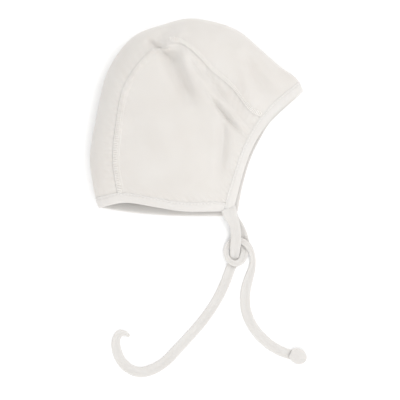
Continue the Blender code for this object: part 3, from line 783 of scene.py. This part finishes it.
# Places a pitch apart along a line on the cloth, with the ways ahead, outward and sideways at each.
def evenPlaces(along, t, lift, pitch):
    points = clothPoint(along, t)
    normals = clothNormal(along, t)
    run = runOf(points)
    at = np.arange(pitch, run[-1], pitch)
    place = np.stack([np.interp(at, run, points[:, i]) for i in range(3)], axis=1)
    outward = np.stack([np.interp(at, run, normals[:, i]) for i in range(3)], axis=1)
    ahead = np.gradient(place, axis=0)
    ahead /= np.linalg.norm(ahead, axis=1, keepdims=True)
    return {"place": place + outward * lift, "ahead": ahead, "outward": outward,
            "sideways": np.cross(outward, ahead)}


# One piece of stitches, which point ahead along their lines or sideways across them.
def stitchPiece(name, lines, point, length, width, seed):
    places = toFrame(np.concatenate([line["place"] for line in lines]))
    mesh = bpy.data.meshes.new(name)
    mesh.from_pydata(places.tolist(), [], [])
    for label, way in (("ahead", point), ("outward", "outward")):
        values = np.concatenate([line[way] for line in lines]).astype(np.float32)
        mesh.attributes.new(label, "FLOAT_VECTOR", "POINT").data.foreach_set("vector", values.ravel())
    source = bpy.data.objects.new(name + "_line", mesh)
    bpy.context.scene.collection.objects.link(source)
    modifier = source.modifiers.new("stitches", "NODES")
    modifier.node_group = stitches
    sockets = {s.name: s.identifier for s in stitches.interface.items_tree if s.in_out == "INPUT"}
    modifier[sockets["Stitch Length"]] = length
    modifier[sockets["Thread Width"]] = width
    modifier[sockets["Seed"]] = seed
    modifier[sockets["Material"]] = materials["seam_thread"]
    evaluated = source.evaluated_get(bpy.context.evaluated_depsgraph_get())
    made = bpy.data.meshes.new_from_object(evaluated)
    made.name = name
    print(f"scene: {name}, {len(made.polygons)} faces")
    source.modifiers.remove(modifier)
    bpy.data.objects.remove(source)
    made.polygons.foreach_set("material_index", np.zeros(len(made.polygons), np.int32))
    made.materials.clear()
    made.materials.append(materials["seam_thread"])
    made.shade_smooth()
    piece = bpy.data.objects.new(name, made)
    bpy.context.scene.collection.objects.link(piece)
    pieceSlots[name] = (piece, "seam_thread", ())


print("scene: stitches")
seamStitch = {
    "rowsAt": (0.0012, 0.0042), "pitch": 0.0027, "length": 0.0021, "width": 0.0005, "seed": 3,
    "rungsAt": 0.0027, "rungPitch": 0.0014, "rungLength": 0.0032, "rungWidth": 0.0007, "rungSeed": 4,
    "lift": 0.00036, "ends": (0.004, 0.996), "samples": 500, "slopeStep": 0.004, "fewest": 3,
}
bandStitch = {
    "inset": 0.0016, "pitch": 0.0027, "length": 0.0021, "width": 0.0004, "height": 0.72, "samples": 400,
    "faceEnds": (-0.97, 0.97), "faceSeed": 5, "neckEnds": (-0.93, 0.93), "neckSeed": 7,
}


# Places along a line that runs beside a seam, on its allowance.
def besideSeam(layer, away, pitch):
    sign = -1 if layer == "near" else 1
    across = np.linspace(*seamStitch["ends"], seamStitch["samples"])
    along, t = panelPlace(across, sign * seamAt(across, layer))
    # beyond the seam is the side panel, before it the centre panel
    towards = np.where(allowanceSide(across) > 0.5, 1.0, -1.0)
    step = seamStitch["slopeStep"]
    shifted = t + sign * towards * away / (np.linalg.norm(slopeOf(along, t, 0, step), axis=-1) / (2 * step))
    surface = bonnet["panelWall"] / 2 + seam["allowance"] + seamStitch["lift"]
    parts = [part for part in (towards < 0, towards > 0) if part.sum() > seamStitch["fewest"]]
    return [evenPlaces(along[part], shifted[part], surface, pitch) for part in parts]


for layer in ("near", "far"):
    rows = [line for away in seamStitch["rowsAt"] for line in besideSeam(layer, away, seamStitch["pitch"])]
    stitchPiece(f"seam_stitches_{layer}", rows, "ahead",
                seamStitch["length"], seamStitch["width"], seamStitch["seed"])
    rungs = besideSeam(layer, seamStitch["rungsAt"], seamStitch["rungPitch"])
    stitchPiece(f"seam_rungs_{layer}", rungs, "sideways",
                seamStitch["rungLength"], seamStitch["rungWidth"], seamStitch["rungSeed"])


# One line of stitches along the inner side of a band.
def bandStitches(name, width, ends, fromNeck, seed):
    tRow = np.linspace(*ends, bandStitch["samples"])
    along = np.array([alongAt(t, width(t) - bandStitch["inset"], fromNeck) for t in tRow])
    line = evenPlaces(along, tRow, bonnet["bandWall"] / 2 * bandStitch["height"], bandStitch["pitch"])
    stitchPiece(name, [line], "ahead", bandStitch["length"], bandStitch["width"], seed)


bandStitches("face_band_stitches", lambda t: bonnet["faceBandWidth"], bandStitch["faceEnds"], False,
             bandStitch["faceSeed"])
bandStitches("neck_band_stitches", neckWidth, bandStitch["neckEnds"], True, bandStitch["neckSeed"])

print("scene: bodies")
for name, (piece, slotName, cad) in pieceSlots.items():
    if not piece.data.materials:
        piece.data.materials.append(materials[slotName])
    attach(piece, "root")
    if cad:
        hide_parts(*cad)


# Floor, light and camera.
studio = {
    "photoWidth": 0.3208, "centreX": 0.00245, "centreY": -0.0660, "middleHeight": 0.012, "lens": 120,
    "sensor": 36, "floorSide": 3.0, "floorWhite": 0.97, "floorRoughness": 0.9, "worldPower": 0.97,
    "aim": (0, -0.05, 0),
}
lamps = {
    "key": {"place": (0.60, 0.60, 1.05), "size": 0.9, "power": 5},
    "front": {"place": (0.20, -1.10, 0.95), "size": 1.1, "power": 6.5},
}


def layFloor():
    mesh = bpy.data.meshes.new("floor")
    side = studio["floorSide"]
    corners = [(-side, -side, 0), (side, -side, 0), (side, side, 0), (-side, side, 0)]
    mesh.from_pydata(corners, [], [(0, 1, 2, 3)])
    floor = bpy.data.objects.new("floor", mesh)
    bpy.context.scene.collection.objects.link(floor)
    paint = bpy.data.materials.new("floor_white")
    paint.use_nodes = True
    shader = paint.node_tree.nodes["Principled BSDF"]
    shader.inputs["Base Color"].default_value = (*[studio["floorWhite"]] * 3, 1)
    shader.inputs["Roughness"].default_value = studio["floorRoughness"]
    mesh.materials.append(paint)


def hangLamp(name, place, size, power):
    data = bpy.data.lights.new(name, "AREA")
    data.shape = "DISK"
    data.size = size
    data.energy = power
    lamp = bpy.data.objects.new(name, data)
    lamp.location = place
    lamp.rotation_euler = (Vector(studio["aim"]) - Vector(place)).to_track_quat("-Z", "Y").to_euler()
    bpy.context.scene.collection.objects.link(lamp)


# The camera looks straight down, as the photo does.
def setCamera():
    data = bpy.data.cameras.new("camera")
    data.sensor_width = studio["sensor"]
    data.sensor_fit = "HORIZONTAL"
    data.lens = studio["lens"]
    eye = bpy.data.objects.new("camera", data)
    height = studio["photoWidth"] * studio["lens"] / studio["sensor"] + studio["middleHeight"]
    eye.location = (studio["centreX"], studio["centreY"], height)
    bpy.context.scene.collection.objects.link(eye)
    bpy.context.scene.camera = eye


print("scene: studio")
layFloor()
world = bpy.data.worlds.new("studio")
bpy.context.scene.world = world
world.use_nodes = True
sky = world.node_tree.nodes["Background"]
sky.inputs["Color"].default_value = (1, 1, 1, 1)
sky.inputs["Strength"].default_value = studio["worldPower"]
for name, lamp in lamps.items():
    hangLamp(name, **lamp)
setCamera()
bpy.context.scene.view_settings.view_transform = "Standard"
